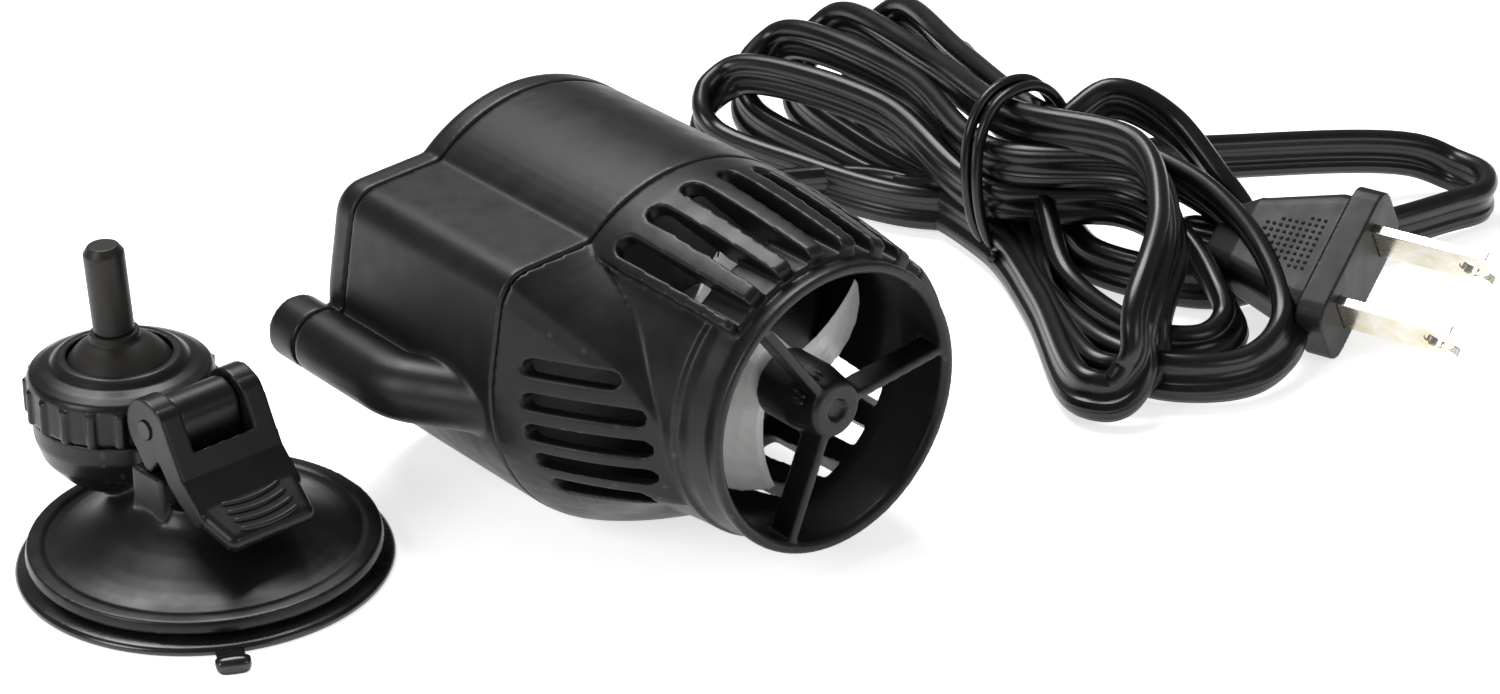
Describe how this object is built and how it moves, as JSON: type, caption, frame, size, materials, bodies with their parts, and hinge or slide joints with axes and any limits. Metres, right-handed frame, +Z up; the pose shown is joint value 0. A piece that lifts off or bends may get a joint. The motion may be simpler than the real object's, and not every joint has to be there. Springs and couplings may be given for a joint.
{
  "type": "wave maker pump",
  "caption": "Submersible magnet-drive wave maker pump with open grille cage and wide outlet, with its loose suction bracket, power cord and plug.",
  "frame": {"origin": "on the impeller axis, in the plane of the outlet's front rim", "axes": "-Y is the way the flow leaves the outlet, +Z is up from the bench that the pump lies on, and +X is to the right when looking into the outlet along +Y"},
  "size_m": [0.2383, 0.1297, 0.048],
  "materials": {
    "housing": "fine satin texture",
    "bracket": "semi-gloss moulded",
    "rubber": "smooth soft PVC",
    "impeller": "translucent white moulded",
    "cord": "glossy flexible PVC",
    "blades": "nickel plated brass",
    "ceramic": "ground ceramic",
    "laminations": "stacked silicon steel",
    "magnet": "sintered ferrite",
    "bobbin": "natural nylon",
    "copper": "enamelled copper wire",
    "epoxy": "cast resin",
    "pin_steel": "plain steel"
  },
  "bodies": {
    "pump": {"motor_housing": "housing", "rear_cover": "housing", "well_plate": "housing", "stator_core": "laminations", "coil_bobbin": "bobbin", "coil_winding": "copper", "thermal_fuse": "pin_steel", "lead_wires": "rubber", "epoxy_potting": "epoxy", "rear_bush": "rubber", "rotor_shaft": "ceramic", "rear_washer": "ceramic", "front_washer": "ceramic", "cord_gland": "rubber", "power_cord": "cord", "cord_tie": "cord", "plug_body": "cord", "plug_blades": "blades"},
    "cage": {"front_cage": "housing", "front_bush": "rubber"},
    "rotor": {"rotor_magnet": "magnet", "magnet_carrier": "bobbin"},
    "impeller_body": {"impeller": "impeller"},
    "bracket": {"suction_cup": "rubber", "cup_cover": "bracket"},
    "plunger_body": {"plunger": "bracket", "lever_pin": "pin_steel"},
    "lever": {"lock_lever": "bracket"},
    "seat": {"ball_seat": "rubber"},
    "ball": {"swivel_ball": "rubber", "mount_stalk": "bracket"},
    "nut_washer": {"clamp_washer": "bobbin"},
    "nut": {"clamp_nut": "bracket"}
  },
  "joints": [
    {"name": "rotor_spin", "type": "hinge", "parent": "pump", "child": "rotor", "pos_m": [0, 0.043, 0], "axis": [0, 1, 0], "continuous": true},
    {"name": "impeller_play", "type": "hinge", "parent": "rotor", "child": "impeller_body", "pos_m": [0, 0.02, 0], "axis": [0, 1, 0], "range_deg": [-130, 130]},
    {"name": "cage_pull", "type": "slide", "parent": "pump", "child": "cage", "axis": [0, -1, 0], "range_m": [0, 0.045]},
    {"name": "bracket_slide", "type": "slide", "parent": "pump", "child": "bracket", "axis": [-1, 0, 0], "range_m": [0, 0.05]},
    {"name": "plunger_drop", "type": "slide", "parent": "bracket", "child": "plunger_body", "axis": [0, 0, -1], "range_m": [0, 0.0016]},
    {"name": "lever_flip", "type": "hinge", "parent": "plunger_body", "child": "lever", "pos_m": [-0.0607, 0.055, -0.002], "axis": [-0.9976, -0.0698, 0], "range_deg": [0, 100]},
    {"name": "ball_swivel", "type": "hinge", "parent": "bracket", "child": "seat", "pos_m": [-0.06185, 0.07146, -0.005], "axis": [0, 0, 1], "range_deg": [-180, 180]},
    {"name": "ball_tilt", "type": "hinge", "parent": "seat", "child": "ball", "pos_m": [-0.06185, 0.07146, -0.005], "axis": [-0.6348, -0.7727, 0], "range_deg": [-29, 23]},
    {"name": "nut_lift", "type": "slide", "parent": "bracket", "child": "nut_washer", "axis": [0, 0, 1], "range_m": [0, 0.002]},
    {"name": "nut_turn", "type": "hinge", "parent": "nut_washer", "child": "nut", "pos_m": [-0.06185, 0.07146, -0.005], "axis": [0, 0, 1], "range_deg": [0, 360]}
  ],
  "couplings": [
    {"joint": "plunger_drop", "follows": "lever_flip", "m_per_rad": 0.000916},
    {"joint": "nut_lift", "follows": "nut_turn", "m_per_rad": 0.0003183}
  ]
}
